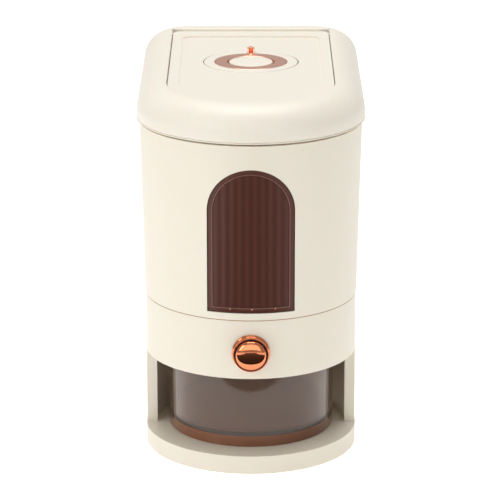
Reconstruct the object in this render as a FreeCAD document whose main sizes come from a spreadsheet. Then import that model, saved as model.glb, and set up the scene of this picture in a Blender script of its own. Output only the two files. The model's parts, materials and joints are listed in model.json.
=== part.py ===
"""Burr coffee grinder: a D-shaped cream body with a bean bin, a grind head and a grounds cup.

Millimetres, +Z up. Heights start at the surface it stands on. Each piece is laid out about the
vertical axis of the round nose, and its Placement then moves it so that the origin is under the
middle of the whole object.
"""
import FreeCAD, Part
import math
import os
import re

import Sketcher

Vector = FreeCAD.Vector

DIMENSIONS = {
    # plan of the base: a half round nose, straight sides and two rounded rear corners
    "nose_radius": 65.0,
    "rear_reach": 168.0,
    "corner_radius": 27.0,
    # levels
    "foot_height": 1.6,
    "skirt_gap": 0.8,
    "base_top": 12.0,
    "band_bottom": 61.5,
    "body_seam": 98.5,
    "lid_seam": 206.0,
    "lid_crest": 229.0,
    # walls and clearances
    "wall": 3.0,
    "floor_wall": 2.5,
    "fit_gap": 0.3,
    "shaft_gap": 0.05,
    "sheet_gap": 0.1,
    # base and its fixings
    "foot_radius": 8.0,
    "foot_side": 36.0,
    "foot_front": 34.0,
    "cover_plate": 2.0,
    "boss_radius": 4.5,
    "screw_radius": 1.5,
    "screw_head_radius": 3.0,
    "screw_head_height": 2.2,
    "base_screw_length": 12.0,
    "base_screw_front": 92.0,
    # lower housing
    "band_inset": 0.4,
    "bay_front": 3.0,
    "rear_door_half": 33.5,
    "rear_door_low": 22.0,
    "rear_door_high": 86.0,
    # upper housing, which widens upwards
    "body_flare": 2.5,
    # level window
    "window_half": 26.1,
    "window_low": 102.7,
    "window_high": 191.7,
    "window_rim": 3.5,
    "window_plate": 1.8,
    "gasket": 0.8,
    # bean funnel
    "throat_radius": 17.0,
    "throat_level": 100.0,
    "funnel_rise": 21.0,
    "slope_start": 10.0,
    "slope_low": 99.0,
    "slope_high": 172.0,
    # lid
    "lid_overhang": 4.2,
    "lid_round": 17.0,
    "lid_lip": 4.0,
    "lid_pocket_top": 220.0,
    "flap_corner": 8.0,
    "flap_top": 227.8,
    "flap_plate": 4.0,
    "flap_gap": 0.6,
    "flap_ledge": 4.0,
    "panel_depth": 0.8,
    "hinge_pin_radius": 1.0,
    "hinge_pin_length": 10.0,
    "seal_width": 2.0,
    "seal_height": 2.0,
    # handle in the flap
    "handle_y": 61.5,
    "handle_radius": 29.6,
    "handle_plate": 5.0,
    "handle_seat": 1.5,
    "ring_outer": 22.2,
    "ring_inner": 14.8,
    "ring_thick": 2.0,
    "ring_gap": 0.6,
    "post_half": 1.2,
    "post_depth": 3.0,
    "post_height": 3.7,
    "post_setback": 24.4,
    "ring_pin_radius": 0.7,
    "knuckle_radius": 1.5,
    "knuckle_width": 0.9,
    # gear train: module, teeth and widths
    "gear_module": 1.5,
    "pinion_teeth": 12.0,
    "idler_teeth": 50.0,
    "burr_gear_teeth": 31.0,
    "gear_face": 6.0,
    "gear_lift": 2.4,
    "gear_backlash": 0.1,
    "tooth_height": 0.9,
    "tooth_root": 1.25,
    "deck_plate": 2.2,
    "deck_front": 23.0,
    "deck_rear": 135.0,
    # motor
    "motor_radius": 27.0,
    "motor_low": 15.0,
    "motor_shaft_radius": 2.5,
    "motor_screw_circle": 18.0,
    "motor_boss_radius": 8.0,
    "motor_boss_height": 1.8,
    # idler axle
    "axle_radius": 3.0,
    # grind head
    "spindle_radius": 4.0,
    "bush_radius": 7.0,
    "burr_radius": 24.0,
    "burr_height": 5.0,
    "burr_gap": 0.6,
    "upper_burr_bore": 12.0,
    "chamber_radius": 27.0,
    "chamber_wall": 2.5,
    "chamber_floor": 2.0,
    "chamber_lift": 3.4,
    "chamber_top": 96.0,
    "carrier_plate": 1.5,
    "standoff_circle": 33.0,
    "standoff_radius": 2.5,
    "standoff_pad_radius": 4.5,
    # chute
    "chute_y": 36.5,
    "chute_radius": 10.5,
    "chute_wall": 1.5,
    "chute_low": 60.2,
    "hood_height": 11.0,
    # start button, measured outwards from the nose axis
    "button_level": 77.8,
    "bezel_floor": 2.0,
    "cap_radius": 9.6,
    "cap_travel": 3.0,
    "cap_edge": 1.6,
    "stem_radius": 4.0,
    "spring_radius": 6.0,
    "spring_wire": 0.5,
    "spring_turns": 4.0,
    # start switch
    "switch_x": 12.0,
    "switch_width": 18.0,
    "switch_depth": 7.0,
    "switch_height": 10.0,
    "lever_plate": 0.5,
    # control board and mains inlet
    "board_plate": 1.6,
    "board_half": 30.0,
    "board_low": 48.0,
    "board_high": 84.0,
    "inlet_half": 13.0,
    "inlet_low": 26.0,
    "inlet_high": 42.0,
    "inlet_depth": 18.0,
    "inlet_lobe": 4.4,
    "inlet_spread": 4.3,
    "inlet_pin_radius": 1.2,
    # grounds cup
    "cup_y": 1.3,
    "cup_wall": 2.2,
    "cup_top": 57.9,
    "cup_floor": 18.6,
    "cup_stop_radius": 14.0,
    "cup_stop_level": 31.0,
}

# sizes that follow others, so that each of those can change on its own
TIED = {
    "base_screw_side": "nose_radius - 7.5",
    "base_screw_rear": "rear_reach - 20",
    "foot_rear": "rear_reach - 28",
    "bay_radius": "nose_radius - 6.7",
    "cup_radius": "nose_radius - 14.2",
    "funnel_top_radius": "nose_radius - 1",
    "flap_half": "nose_radius - 14.6",
    "flap_rear": "rear_reach - 20.8",
    "panel_half": "nose_radius - 21.1",
    "panel_rear": "rear_reach - 37.3",
    "hinge_pin_inner": "nose_radius - 22.5",
    "deck_half": "nose_radius - 21",
    "board_y": "rear_reach - 20",
    "bezel_radius": "cap_radius + 1.8",
    "bezel_lip": "cap_radius + 1.3",
    "bezel_tube": "cap_radius - 0.6",
    "bezel_seat": "nose_radius - 1.5",
    "bezel_back": "nose_radius - 6.5",
    "bezel_reach": "nose_radius + 3.5",
    "button_reach": "nose_radius + 8",
    "stem_back": "nose_radius - 8.6",
    "switch_front": "nose_radius - 12.4",
}
ALIASES = {**DIMENSIONS, **{alias: f"={rule}" for alias, rule in TIED.items()}}

MIDDLE = "(rear_reach + lid_overhang - button_reach) / 2"
BAND_RADIUS = "nose_radius - band_inset"
BAND_REAR = "rear_reach - band_inset"
BAND_CORNER = "corner_radius - band_inset"
ROOF = "band_bottom + wall"
DECK_TOP = "band_bottom + wall + deck_plate"
GEAR_LOW = "band_bottom + wall + deck_plate + gear_lift"
CHAMBER_LOW = "band_bottom + wall + deck_plate + gear_lift + gear_face + chamber_lift"
BURR_LOW = CHAMBER_LOW + " + chamber_floor + 1"
IDLER_Y = "gear_module * (burr_gear_teeth + idler_teeth) / 2"
MOTOR_Y = "gear_module * (burr_gear_teeth + 2 * idler_teeth + pinion_teeth) / 2"
PIN_Y = "flap_rear - flap_plate / 2"
PIN_Z = "flap_top - flap_plate / 2"
PANEL_TOP = "flap_top - panel_depth"
DISC_TOP = "flap_top - panel_depth + fit_gap"
RING_PIN_Y = "handle_y + post_setback"
RING_PIN_Z = "flap_top - panel_depth + fit_gap + 2"

doc = FreeCAD.newDocument("CoffeeGrinder")
sheet = doc.addObject("Spreadsheet::Sheet", "Dims")
for row, (alias, number) in enumerate(ALIASES.items(), start=1):
    sheet.set(f"A{row}", alias)
    sheet.set(f"B{row}", str(number))
    sheet.setAlias(f"B{row}", alias)
doc.recompute()

subparts = []


def size(alias):
    """A driving dimension, read back from the sheet."""
    return float(sheet.get(alias))


def bound(expression):
    """The same expression with each alias pointing into the sheet."""
    return re.sub(r"[a-z_][a-z_0-9]*", lambda word: "Dims." + word.group() if word.group() in ALIASES
                  else word.group(), str(expression))


def drive(item, name, expression):
    """Bind one property of an object to the sheet."""
    item.setExpression(name, bound(expression))


def place(item, spot):
    """Bind an object's position to the sheet."""
    for axis, expression in zip("xyz", spot):
        drive(item, f".Placement.Base.{axis}", expression)


def keep(item, label, spot=("0", "0", "0")):
    """Name a finished sub-part and move it from the nose axis into the part's frame."""
    item.Label = label
    x, y, z = spot
    place(item, (x, f"{y} - {MIDDLE}", z))
    subparts.append(item)
    return item


def cylinder(radius, height, spot, turn=None):
    item = doc.addObject("Part::Cylinder", "Cylinder")
    if turn is not None:
        item.Placement.Rotation = turn
    drive(item, "Radius", radius)
    drive(item, "Height", height)
    place(item, spot)
    return item


def block(x_range, y_range, z_range):
    """A box between two values on each axis."""
    item = doc.addObject("Part::Box", "Block")
    for name, (low, high) in zip(("Length", "Width", "Height"), (x_range, y_range, z_range)):
        drive(item, name, f"({high}) - ({low})")
    place(item, (x_range[0], y_range[0], z_range[0]))
    return item


def fuse(*items):
    if len(items) == 1:
        return items[0]
    item = doc.addObject("Part::MultiFuse", "Join")
    item.Shapes = list(items)
    return item


def cut(base, *tools):
    item = doc.addObject("Part::Cut", "Cut")
    item.Base = base
    item.Tool = fuse(*tools)
    return item


def common(first, second):
    item = doc.addObject("Part::Common", "Common")
    item.Base = first
    item.Tool = second
    return item


FORWARD = FreeCAD.Rotation(Vector(1, 0, 0), 90)
ACROSS = FreeCAD.Rotation(Vector(0, 1, 0), 90)


def limit(sketch, kind, *fixed, expression=None, start=1.0):
    """Add a constraint, with its value bound to the sheet."""
    if expression is None:
        return sketch.addConstraint(Sketcher.Constraint(kind, *fixed))
    index = sketch.addConstraint(Sketcher.Constraint(kind, *fixed, start))
    drive(sketch, f"Constraints[{index}]", expression)
    return index


def draw_plan(sketch, radius, rear, corner):
    """The D outline: a half circle to the front, straight sides and rounded rear corners."""
    r, back, c = 50.0, 140.0, 10.0
    arc = Part.ArcOfCircle
    circle = Part.Circle
    up = Vector(0, 0, 1)
    nose = sketch.addGeometry(arc(circle(Vector(0, 0, 0), up, r), math.pi, 2 * math.pi), False)
    right = sketch.addGeometry(Part.LineSegment(Vector(r, 0, 0), Vector(r, back - c, 0)), False)
    rear_right = sketch.addGeometry(arc(circle(Vector(r - c, back - c, 0), up, c), 0, math.pi / 2), False)
    back_edge = sketch.addGeometry(Part.LineSegment(Vector(r - c, back, 0), Vector(c - r, back, 0)), False)
    rear_left = sketch.addGeometry(arc(circle(Vector(c - r, back - c, 0), up, c), math.pi / 2, math.pi), False)
    left = sketch.addGeometry(Part.LineSegment(Vector(-r, back - c, 0), Vector(-r, 0, 0)), False)
    chain = [nose, right, rear_right, back_edge, rear_left, left]
    for this, following in zip(chain, chain[1:] + chain[:1]):
        limit(sketch, "Tangent", this, 2, following, 1)
    limit(sketch, "Coincident", nose, 3, -1, 1)
    limit(sketch, "Vertical", right)
    limit(sketch, "Horizontal", back_edge)
    limit(sketch, "Vertical", left)
    limit(sketch, "Equal", rear_right, rear_left)
    limit(sketch, "Radius", nose, expression=radius, start=r)
    limit(sketch, "Radius", rear_right, expression=corner, start=c)
    limit(sketch, "DistanceY", -1, 1, back_edge, 1, expression=rear, start=back)


def plan_sketch(radius, rear, corner, level):
    sketch = doc.addObject("Sketcher::SketchObject", "Plan")
    draw_plan(sketch, radius, rear, corner)
    drive(sketch, ".Placement.Base.z", level)
    return sketch


def plan_prism(radius, rear, corner, low, high):
    """The D outline, drawn at one level and pulled up to another."""
    item = doc.addObject("Part::Extrusion", "Prism")
    item.Base = plan_sketch(radius, rear, corner, low)
    item.DirMode = "Custom"
    item.Dir = Vector(0, 0, 1)
    item.Solid = True
    drive(item, "LengthFwd", f"({high}) - ({low})")
    return item


def inset_prism(inset, low, high):
    """The lower housing's outline, a distance inside its outer face."""
    return plan_prism(f"{BAND_RADIUS} - ({inset})", f"{BAND_REAR} - ({inset})",
                      f"{BAND_CORNER} - ({inset})", low, high)


def flared_body(inset):
    """The upper housing's widening form, a distance inside its outer face."""
    item = doc.addObject("Part::Loft", "Flare")
    low = plan_sketch(f"nose_radius - ({inset})", f"rear_reach - ({inset})",
                      f"corner_radius - ({inset})", "body_seam")
    high = plan_sketch(f"nose_radius + body_flare - ({inset})", f"rear_reach + body_flare - ({inset})",
                       f"corner_radius + body_flare - ({inset})", "lid_seam")
    item.Sections = [low, high]
    item.Solid = True
    item.Ruled = True
    return item


def origin_plane(body, role):
    return [plane for plane in body.Origin.OriginFeatures if plane.Role == role][0]


def draw_polygon(sketch, points):
    """Straight edges through points given as two expressions each, every one bound to the sheet."""
    guesses = [(3.0 * math.cos(2 * math.pi * k / len(points)) + 10, 3.0 * math.sin(2 * math.pi * k / len(points)))
               for k in range(len(points))]
    lines = []
    for k, here in enumerate(guesses):
        there = guesses[(k + 1) % len(guesses)]
        lines.append(sketch.addGeometry(Part.LineSegment(Vector(*here, 0), Vector(*there, 0)), False))
    for k, line in enumerate(lines):
        limit(sketch, "Coincident", line, 2, lines[(k + 1) % len(lines)], 1)
    for (across, along), line, guess in zip(points, lines, guesses):
        if across == "0":
            limit(sketch, "PointOnObject", line, 1, -2)
        else:
            limit(sketch, "DistanceX", -1, 1, line, 1, expression=across, start=guess[0])
        if along == "0":
            limit(sketch, "PointOnObject", line, 1, -1)
        else:
            limit(sketch, "DistanceY", -1, 1, line, 1, expression=along, start=guess[1])


def turned(points, turn=None):
    """A body turned about its own upright axis from half of its section."""
    body = doc.addObject("PartDesign::Body", "Turned")
    sketch = body.newObject("Sketcher::SketchObject", "Section")
    sketch.AttachmentSupport = [(origin_plane(body, "XZ_Plane"), "")]
    sketch.MapMode = "FlatFace"
    draw_polygon(sketch, points)
    revolution = body.newObject("PartDesign::Revolution", "Revolution")
    revolution.Profile = sketch
    revolution.ReferenceAxis = (sketch, ["V_Axis"])
    revolution.Angle = 360.0
    if turn is not None:
        body.Placement.Rotation = turn
    return body


def side_prism(points, half_width):
    """A profile drawn in the upright plane that divides left from right, pulled both ways from it."""
    sketch = doc.addObject("Sketcher::SketchObject", "Profile")
    sketch.Placement = FreeCAD.Placement(Vector(0, 0, 0), FreeCAD.Rotation(Vector(1, 1, 1), 120))
    draw_polygon(sketch, points)
    item = doc.addObject("Part::Extrusion", "Prism")
    item.Base = sketch
    item.DirMode = "Custom"
    item.Dir = Vector(1, 0, 0)
    item.Solid = True
    drive(item, "LengthFwd", half_width)
    drive(item, "LengthRev", half_width)
    return item


def screw(length, turn=None, head_height="screw_head_height"):
    """A pan-head screw whose head sits on its own zero level, with the shank below it."""
    return turned([("0", f"-({length})"), ("screw_radius", f"-({length})"), ("screw_radius", "0"),
                   ("screw_head_radius", "0"), ("screw_head_radius", f"({head_height}) * 0.7"),
                   ("screw_head_radius * 0.7", head_height), ("0", head_height)], turn)


# ---------------------------------------------------------------- base

BASE_FIXINGS = [(side, y) for side in ("base_screw_side", "-base_screw_side")
                for y in ("base_screw_front", "base_screw_rear")]
FOOT_SPOTS = [(x, y) for x in ("foot_side", "-foot_side") for y in ("-foot_front", "foot_rear")]
BASE_INNER_TOP = "base_top - wall"

skirt = plan_prism("nose_radius", "rear_reach", "corner_radius", "skirt_gap", "base_top")
hollow = plan_prism("nose_radius - wall", "rear_reach - wall", "corner_radius - wall", "skirt_gap - 1",
                    BASE_INNER_TOP)
base_holes = [cylinder("screw_radius + 0.3", "base_top + 2", (x, y, "-1")) for x, y in BASE_FIXINGS]
keep(cut(skirt, hollow, *base_holes), "base_plate")

COVER_LOW = "foot_height"
keep(plan_prism("nose_radius - wall - fit_gap", "rear_reach - wall - fit_gap",
                "corner_radius - wall - fit_gap", COVER_LOW, "foot_height + cover_plate"), "bottom_cover")

keep(fuse(*[cylinder("foot_radius", "foot_height", (x, y, "0")) for x, y in FOOT_SPOTS]), "foot_pads")

base_screws = []
for x, y in BASE_FIXINGS:
    one = screw("base_screw_length + wall", FreeCAD.Rotation(Vector(1, 0, 0), 180))
    place(one, (x, y, BASE_INNER_TOP))
    base_screws.append(one)
keep(fuse(*base_screws), "base_screws")

# ---------------------------------------------------------------- lower housing

BAY_BACK = "bay_radius + wall"
housing_block = inset_prism("0", "base_top", "body_seam")
bay = cylinder("bay_radius", "band_bottom - base_top + 1", ("0", "0", "base_top - 1"))
bay_mouth = block(("-nose_radius - 5", "nose_radius + 5"), ("-nose_radius - 5", "-bay_front"),
                  ("base_top - 1", "band_bottom"))
band_room = inset_prism("wall", ROOF, "body_seam + 1")
rear_room = cut(inset_prism("wall", "base_top - 1", f"{ROOF} + 1"),
                cylinder(BAY_BACK, "band_bottom + 20", ("0", "0", "base_top - 2")),
                block(("-nose_radius - 5", "nose_radius + 5"), ("-nose_radius - 5", "wall - bay_front"),
                      ("base_top - 2", "band_bottom + 20")))
button_hole = cylinder("bezel_tube + 0.1", "30", ("0", "20 - nose_radius", "button_level"), FORWARD)
button_face = cylinder("bezel_radius + 0.15", "20", ("0", "-bezel_seat", "button_level"), FORWARD)
chute_hole = cylinder("chute_radius + fit_gap", "20", ("0", "-chute_y", "band_bottom - 5"))
spindle_relief = cylinder("bush_radius + 1", "wall - 1", ("0", "0", "band_bottom + 1"))
rear_door = block(("-rear_door_half", "rear_door_half"), (f"{BAND_REAR} - wall - 2", f"{BAND_REAR} + 5"),
                  ("rear_door_low", "rear_door_high"))
housing_bosses = [cylinder("boss_radius", "base_screw_length + 2", (x, y, "base_top")) for x, y in BASE_FIXINGS]
boss_bores = [cylinder("screw_radius + 0.1", "base_screw_length + 1", (x, y, "base_top - 1"))
              for x, y in BASE_FIXINGS]
deck_posts = [block((low, high), ("deck_rear - 8", "deck_rear - 1"), ("base_top", ROOF))
              for low, high in (("deck_half - 8", f"{BAND_RADIUS} - 1"), (f"1 - ({BAND_RADIUS})", "8 - deck_half"))]
housing_shell = cut(housing_block, bay, bay_mouth, band_room, rear_room, button_hole, button_face, chute_hole,
                    spindle_relief, rear_door)
keep(cut(fuse(housing_shell, *housing_bosses, *deck_posts), *boss_bores), "lower_housing")

# ---------------------------------------------------------------- rear cover, board and inlet

DOOR_FIXINGS = [(side, z) for side in ("rear_door_half - 5", "5 - rear_door_half")
                for z in ("rear_door_low + 5", "rear_door_high - 5")]
door_plate = block(("-rear_door_half + fit_gap", "rear_door_half - fit_gap"), (f"{BAND_REAR} - wall", BAND_REAR),
                   ("rear_door_low + fit_gap", "rear_door_high - fit_gap"))
door_flange = cut(block(("-rear_door_half - 4", "rear_door_half + 4"),
                        (f"{BAND_REAR} - wall - 2", f"{BAND_REAR} - wall"),
                        ("rear_door_low - 4", "rear_door_high + 4")),
                  block(("8 - rear_door_half", "rear_door_half - 8"),
                        (f"{BAND_REAR} - wall - 3", f"{BAND_REAR} - wall + 1"),
                        ("rear_door_low + 3", "rear_door_high - 3")))
board_posts = [block((x, f"{x} + 4"), ("board_y + board_plate", f"{BAND_REAR} - wall"), (z, f"{z} + 4"))
               for x in ("7 - board_half", "board_half - 11") for z in ("board_low + 3", "board_high - 7")]
inlet_hole = block(("-inlet_half - 0.1", "inlet_half + 0.1"), (f"{BAND_REAR} - wall - 4", f"{BAND_REAR} + 1"),
                   ("inlet_low - 0.1", "inlet_high + 0.1"))
VENT_COUNT = 5
vents = [block(("-18", "18"), (f"{BAND_REAR} - wall - 4", f"{BAND_REAR} + 1"),
               (f"board_low + {4 + 6 * k}", f"board_low + {6.5 + 6 * k}")) for k in range(VENT_COUNT)]
door_bores = [cylinder("screw_radius + 0.2", "20", (x, f"{BAND_REAR} + 2", z), FORWARD) for x, z in DOOR_FIXINGS]
keep(cut(fuse(door_plate, *board_posts), inlet_hole, *vents, *door_bores), "rear_cover")
frame_bores = [cylinder("screw_radius + 0.1", "20", (x, f"{BAND_REAR} + 2", z), FORWARD) for x, z in DOOR_FIXINGS]
keep(cut(door_flange, *frame_bores), "rear_cover_frame")

door_screws = []
for x, z in DOOR_FIXINGS:
    one = screw("wall + 2", FreeCAD.Rotation(Vector(1, 0, 0), -90), "1.4")
    place(one, (x, BAND_REAR, z))
    door_screws.append(one)
keep(fuse(*door_screws), "rear_cover_screws")

inlet_body = block(("-inlet_half", "inlet_half"), (f"{BAND_REAR} - inlet_depth", BAND_REAR),
                   ("inlet_low", "inlet_high"))
INLET_MID = "(inlet_low + inlet_high) / 2"
inlet_lobes = [cylinder("inlet_lobe", "inlet_depth - 2", (x, f"{BAND_REAR} + 1", INLET_MID), FORWARD)
               for x in ("inlet_spread", "-inlet_spread")]
inlet_pins = [cylinder("inlet_pin_radius", "inlet_depth - 5", (x, f"{BAND_REAR} - 2", INLET_MID), FORWARD)
              for x in ("inlet_spread", "-inlet_spread")]
keep(cut(inlet_body, *inlet_lobes), "power_inlet")
keep(fuse(*inlet_pins), "inlet_pins")

board = block(("-board_half", "board_half"), ("board_y", "board_y + board_plate"), ("board_low", "board_high"))
relay = block(("-22", "-8"), ("board_y - 10", "board_y"), ("board_low + 6", "board_low + 18"))
capacitor = cylinder("5", "11", ("12", "board_y", "board_low + 12"), FORWARD)
regulator = block(("2", "12"), ("board_y - 4", "board_y"), ("board_high - 12", "board_high - 4"))
keep(fuse(board, relay, capacitor, regulator), "control_board")

# ---------------------------------------------------------------- motor and gear train

deck = block(("-deck_half", "deck_half"), ("-deck_front", "deck_rear"), (ROOF, DECK_TOP))
MOTOR_FIXINGS = [(f"motor_screw_circle * {sx}", f"{MOTOR_Y} + motor_screw_circle * {sy}")
                 for sx, sy in ((1, 0), (-1, 0), (0, 1), (0, -1))]
motor_holes = [cylinder("screw_radius + 0.2", "10", (x, y, f"{ROOF} - 4")) for x, y in MOTOR_FIXINGS]
keep(cut(deck, cylinder("bush_radius", "10", ("0", "0", f"{ROOF} - 4")),
         cylinder("motor_boss_radius + 0.1", "10", ("0", MOTOR_Y, f"{ROOF} - 4")),
         cylinder("axle_radius", "10", ("0", IDLER_Y, f"{ROOF} - 4")), *motor_holes), "gear_deck")

can = cylinder("motor_radius", f"{ROOF} - motor_low", ("0", MOTOR_Y, "motor_low"))
boss = cylinder("motor_boss_radius", "motor_boss_height", ("0", MOTOR_Y, ROOF))
shaft_room = cylinder("motor_shaft_radius + shaft_gap", "30", ("0", MOTOR_Y, f"{ROOF} - 16"))
can_bores = [cylinder("screw_radius + 0.1", "8", (x, y, f"{ROOF} - 6")) for x, y in MOTOR_FIXINGS]
keep(cut(fuse(can, boss), shaft_room, *can_bores), "motor")
keep(cylinder("motor_shaft_radius", f"{GEAR_LOW} + gear_face + 1 - ({ROOF} - 15)",
              ("0", "0", "0")), "motor_shaft", ("0", MOTOR_Y, f"{ROOF} - 15"))

motor_screws = []
for x, y in MOTOR_FIXINGS:
    one = screw("deck_plate + 5", None, "1.6")
    place(one, (x, y, DECK_TOP))
    motor_screws.append(one)
keep(fuse(*motor_screws), "motor_screws")


def involute(angle):
    return math.tan(angle) - angle


def gear_outline(teeth, tooth_at):
    """Points round a spur gear with involute flanks and a 20 degree pressure angle."""
    module = size("gear_module")
    pitch_radius = module * teeth / 2
    base_radius = pitch_radius * math.cos(math.radians(20))
    tip_radius = pitch_radius + size("tooth_height") * module
    root_radius = pitch_radius - size("tooth_root") * module
    half_tooth = math.pi / (2 * teeth) - size("gear_backlash") / (2 * pitch_radius)
    start = max(base_radius, root_radius)
    flank = []
    if root_radius < base_radius:
        flank.append((root_radius, half_tooth + involute(math.radians(20))))
    for step in range(3):
        radius = start + (tip_radius - start) * step / 2
        pressure = math.acos(min(1.0, base_radius / radius))
        flank.append((radius, half_tooth + involute(math.radians(20)) - involute(pressure)))
    points = []
    for tooth in range(teeth):
        centre = tooth_at + 2 * math.pi * tooth / teeth
        points += [Vector(r * math.cos(centre - a), r * math.sin(centre - a), 0) for r, a in flank]
        points += [Vector(r * math.cos(centre + a), r * math.sin(centre + a), 0) for r, a in reversed(flank)]
    return points


def gear(label, teeth, tooth_at, bore, height, hub_radius, hub_height, spot):
    """A spur gear with a round hub on top and a bore through both."""
    points = gear_outline(teeth, tooth_at)
    face = Part.Face(Part.makePolygon(points + points[:1]))
    solid = face.extrude(Vector(0, 0, height))
    if hub_height > 0:
        solid = solid.fuse(Part.makeCylinder(hub_radius, hub_height, Vector(0, 0, height)))
    solid = solid.cut(Part.makeCylinder(bore, height + hub_height + 2, Vector(0, 0, -1)))
    item = doc.addObject("Part::Feature", "Gear")
    item.Shape = solid.removeSplitter()
    return keep(item, label, spot)


GEAR_FACE = size("gear_face")
SHAFT_GAP = size("shaft_gap")
REARWARD = math.pi / 2
idler_teeth = int(size("idler_teeth"))
gear("motor_pinion", int(size("pinion_teeth")), -REARWARD, size("motor_shaft_radius"), GEAR_FACE, 0, 0,
     ("0", MOTOR_Y, GEAR_LOW))
gear("idler_gear", idler_teeth, -REARWARD + math.pi / idler_teeth, size("axle_radius") + SHAFT_GAP, GEAR_FACE,
     7.0, 1.5, ("0", IDLER_Y, GEAR_LOW))
gear("burr_gear", int(size("burr_gear_teeth")), REARWARD, size("spindle_radius"), GEAR_FACE,
     8.0, 2.0, ("0", "0", GEAR_LOW))

axle_top = "gear_lift + gear_face + 1.5 + 0.3"
keep(turned([("0", "0"), ("axle_radius", "0"), ("axle_radius", f"deck_plate + {axle_top}"),
             ("axle_radius + 2", f"deck_plate + {axle_top}"), ("axle_radius + 2", f"deck_plate + {axle_top} + 1.2"),
             ("0", f"deck_plate + {axle_top} + 1.2")]), "idler_axle", ("0", IDLER_Y, ROOF))
keep(turned([("axle_radius + 0.05", "0"), ("axle_radius + 3", "0"), ("axle_radius + 3", "gear_lift - 0.2"),
             ("axle_radius + 0.05", "gear_lift - 0.2")]), "idler_spacer", ("0", IDLER_Y, DECK_TOP))

# ---------------------------------------------------------------- grind head

keep(turned([("spindle_radius + shaft_gap", "0"), ("bush_radius", "0"), ("bush_radius", "deck_plate"),
             ("bush_radius + 2", "deck_plate"), ("bush_radius + 2", "deck_plate + 1.6"),
             ("spindle_radius + shaft_gap", "deck_plate + 1.6")]), "spindle_bush", ("0", "0", ROOF))

SPINDLE_LOW = "band_bottom + 1.3"
SPINDLE_TOP = f"{BURR_LOW} + burr_height + 3.5"
keep(cylinder("spindle_radius", f"{SPINDLE_TOP} - ({SPINDLE_LOW})", ("0", "0", "0")), "burr_spindle",
     ("0", "0", SPINDLE_LOW))

BREAKER_COUNT = 12


def burr(label, bore, tilt_up, spot):
    """A flat burr: a ring with radial cutting grooves on the face that meets the other burr."""
    body = turned([(bore, "0"), ("burr_radius", "0"), ("burr_radius", "burr_height"), (bore, "burr_height")])
    doc.recompute()
    sketch = body.newObject("Sketcher::SketchObject", "Groove")
    sketch.AttachmentSupport = [(origin_plane(body, "XY_Plane"), "")]
    sketch.MapMode = "FlatFace"
    if tilt_up:
        drive(sketch, ".AttachmentOffset.Base.z", "burr_height")
    draw_polygon(sketch, [("burr_radius - 7", "-0.8"), ("burr_radius + 1", "-0.8"), ("burr_radius + 1", "0.8"),
                          ("burr_radius - 7", "0.8")])
    groove = body.newObject("PartDesign::Pocket", "GroovePocket")
    groove.Profile = sketch
    groove.Length = 1.2
    groove.Reversed = not tilt_up
    doc.recompute()
    pattern = body.newObject("PartDesign::PolarPattern", "Grooves")
    pattern.Originals = [groove]
    pattern.Axis = ([axis for axis in body.Origin.OriginFeatures if axis.Role == "Z_Axis"][0], [""])
    pattern.Angle = 360.0
    pattern.Occurrences = BREAKER_COUNT
    body.Tip = pattern
    return keep(body, label, spot)


burr("lower_burr", "spindle_radius", True, ("0", "0", BURR_LOW))
UPPER_BURR_LOW = f"{BURR_LOW} + burr_height + burr_gap"
burr("upper_burr", "upper_burr_bore", False, ("0", "0", UPPER_BURR_LOW))

nut = cylinder("spindle_radius + 3", "3", ("0", "0", "0"))
keep(cut(nut, cylinder("spindle_radius", "5", ("0", "0", "-1"))), "burr_nut",
     ("0", "0", f"{BURR_LOW} + burr_height"))

CARRIER_LOW = f"{UPPER_BURR_LOW} + burr_height"
keep(turned([("upper_burr_bore", CARRIER_LOW), ("chamber_radius - fit_gap", CARRIER_LOW),
             ("chamber_radius - fit_gap", "chamber_top"), ("chamber_radius + chamber_wall", "chamber_top"),
             ("chamber_radius + chamber_wall", "chamber_top + 2"),
             ("throat_radius + floor_wall + fit_gap", "chamber_top + 2"),
             ("throat_radius + floor_wall + fit_gap", f"{CARRIER_LOW} + carrier_plate"),
             ("upper_burr_bore", f"{CARRIER_LOW} + carrier_plate")]), "burr_carrier")

STANDOFFS = [(f"standoff_circle * {math.cos(math.radians(a)):.4f}", f"standoff_circle * {math.sin(math.radians(a)):.4f}")
             for a in (30, 150, 210, 330)]
chamber_tub = turned([("spindle_radius + 1", CHAMBER_LOW), ("chamber_radius + chamber_wall", CHAMBER_LOW),
                      ("chamber_radius + chamber_wall", "chamber_top"), ("chamber_radius", "chamber_top"),
                      ("chamber_radius", f"{CHAMBER_LOW} + chamber_floor"),
                      ("spindle_radius + 1", f"{CHAMBER_LOW} + chamber_floor")])
chamber_pads = [fuse(cylinder("standoff_pad_radius", "chamber_floor", (x, y, CHAMBER_LOW)),
                     cylinder("standoff_pad_radius", "chamber_floor", (f"({x}) * 0.92", f"({y}) * 0.92", CHAMBER_LOW)))
                for x, y in STANDOFFS]
grounds_exit = block(("chute_wall - chute_radius", "chute_radius - chute_wall"), ("-chamber_radius - 8", "-18"),
                     (f"{CHAMBER_LOW} + chamber_floor", f"{CHAMBER_LOW} + hood_height - 2"))
keep(cut(fuse(chamber_tub, *chamber_pads), grounds_exit), "grind_chamber")
keep(fuse(*[cylinder("standoff_radius", f"{CHAMBER_LOW} - ({DECK_TOP})", (x, y, DECK_TOP)) for x, y in STANDOFFS]),
     "chamber_standoffs")

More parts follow.
